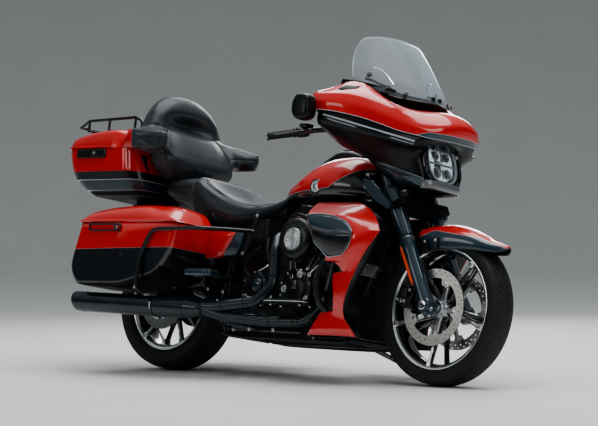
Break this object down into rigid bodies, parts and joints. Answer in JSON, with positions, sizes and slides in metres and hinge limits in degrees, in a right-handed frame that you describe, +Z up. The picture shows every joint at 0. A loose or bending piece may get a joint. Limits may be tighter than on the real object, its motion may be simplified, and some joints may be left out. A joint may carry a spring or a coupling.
{
  "type": "touring cruiser motorcycle",
  "caption": "Touring cruiser motorcycle parked on its side stand, with a fork-mounted fairing, hard saddlebags and a trunk with a wraparound backrest.",
  "frame": {"origin": "on the ground, under the centre of the outline's bounding box, to within a few millimetres", "axes": "+X forward, +Y to the rider's left, +Z up; the machine leans 9.6 degrees to its left"},
  "size_m": [2.6228, 1.083, 1.455],
  "materials": {
    "red_paint": "gloss",
    "black_gloss": "gloss",
    "black_satin": "satin",
    "black_engine": "satin",
    "black_plastic": "matte",
    "bright_metal": "polished",
    "machined": "satin",
    "steel": "brushed",
    "tyre_rubber": "matte",
    "belt_rubber": "matte",
    "leather": "satin",
    "clear": "clear",
    "lamp_lens": "clear",
    "red_lens": "gloss"
  },
  "bodies": {
    "chassis": {"frame": "black_satin", "engine_case": "black_engine", "engine_cylinders": "black_engine", "air_cleaner": "black_gloss", "exhaust_pipes": "black_satin", "mufflers": "black_satin", "fuel_tank": "red_paint", "seat": "leather", "backrest": "leather", "trunk_tub": "black_gloss", "trunk_mount": "black_satin", "saddlebag_right": "red_paint", "saddlebag_left": "red_paint", "rear_fender": "black_gloss", "tail_lamps": "red_lens", "plate_holder": "black_plastic", "side_covers": "red_paint", "swingarm": "black_satin", "rear_axle": "steel", "rear_shocks": "black_satin", "rear_caliper": "black_satin", "drive_belt": "belt_rubber", "lower_fairings": "red_paint", "radiator": "black_plastic", "engine_guard": "black_gloss", "wind_deflectors": "black_gloss", "saddlebag_guards": "black_gloss", "foot_controls": "black_satin"},
    "steering": {"fork_yoke": "black_satin", "fork_legs": "black_gloss", "front_axle": "steel", "front_fender": "red_paint", "front_calipers": "black_satin", "outer_fairing": "red_paint", "fairing_cowl": "black_gloss", "inner_fairing": "black_plastic", "windshield": "clear", "headlamp": "lamp_lens", "handlebar": "black_satin", "mirrors": "black_gloss"},
    "front_wheel": {"front_tyre": "tyre_rubber", "front_rim": "machined", "front_discs": "steel"},
    "rear_wheel": {"rear_tyre": "tyre_rubber", "rear_rim": "machined", "rear_disc": "steel", "rear_pulley": "black_satin"},
    "trunk_lid": {"trunk_lid": "red_paint", "luggage_rack": "black_gloss"},
    "saddlebag_lid_right": {"saddlebag_lid_right": "red_paint"},
    "saddlebag_lid_left": {"saddlebag_lid_left": "red_paint"},
    "side_stand": {"side_stand": "black_satin"},
    "rider_board_right": {"rider_board_right": "black_satin"},
    "rider_board_left": {"rider_board_left": "black_satin"},
    "passenger_board_right": {"passenger_board_right": "black_satin"},
    "passenger_board_left": {"passenger_board_left": "black_satin"}
  },
  "joints": [
    {"name": "steering", "type": "hinge", "parent": "chassis", "child": "steering", "pos_m": [0.77031, 0.00791, 0.79013], "axis": [-0.4384, 0.1499, 0.8862], "range_deg": [-28, 28]},
    {"name": "front_wheel_spin", "type": "hinge", "parent": "steering", "child": "front_wheel", "pos_m": [0.9905, -0.07231, 0.31587], "axis": [0, 0.986, -0.1668], "continuous": true},
    {"name": "rear_wheel_spin", "type": "hinge", "parent": "chassis", "child": "rear_wheel", "pos_m": [-0.6345, -0.07089, 0.32425], "axis": [0, 0.986, -0.1668], "continuous": true},
    {"name": "side_stand_fold", "type": "hinge", "parent": "chassis", "child": "side_stand", "pos_m": [0.424, 0.0583, 0.14063], "axis": [0.2499, 0.191, 0.9492], "range_deg": [0, 143]},
    {"name": "trunk_lid_hinge", "type": "hinge", "parent": "chassis", "child": "trunk_lid", "pos_m": [-1.037, 0.35284, 0.93463], "axis": [-1, 0, 0], "range_deg": [0, 80]},
    {"name": "saddlebag_lid_right_hinge", "type": "hinge", "parent": "chassis", "child": "saddlebag_lid_right", "pos_m": [-0.482, -0.47946, 0.68494], "axis": [1, 0, 0], "range_deg": [0, 75]},
    {"name": "saddlebag_lid_left_hinge", "type": "hinge", "parent": "chassis", "child": "saddlebag_lid_left", "pos_m": [-0.482, 0.43357, 0.53051], "axis": [-1, 0, 0], "range_deg": [0, 75]},
    {"name": "rider_board_right_fold", "type": "hinge", "parent": "chassis", "child": "rider_board_right", "pos_m": [0.374, -0.29965, 0.32693], "axis": [-1, 0, 0], "range_deg": [0, 40]},
    {"name": "rider_board_left_fold", "type": "hinge", "parent": "chassis", "child": "rider_board_left", "pos_m": [0.374, 0.14602, 0.25155], "axis": [1, 0, 0], "range_deg": [0, 40]},
    {"name": "passenger_board_right_fold", "type": "hinge", "parent": "chassis", "child": "passenger_board_right", "pos_m": [-0.119, -0.35918, 0.45465], "axis": [-1, 0, 0], "range_deg": [0, 70]},
    {"name": "passenger_board_left_fold", "type": "hinge", "parent": "chassis", "child": "passenger_board_left", "pos_m": [-0.119, 0.24425, 0.35259], "axis": [1, 0, 0], "range_deg": [0, 70]}
  ]
}
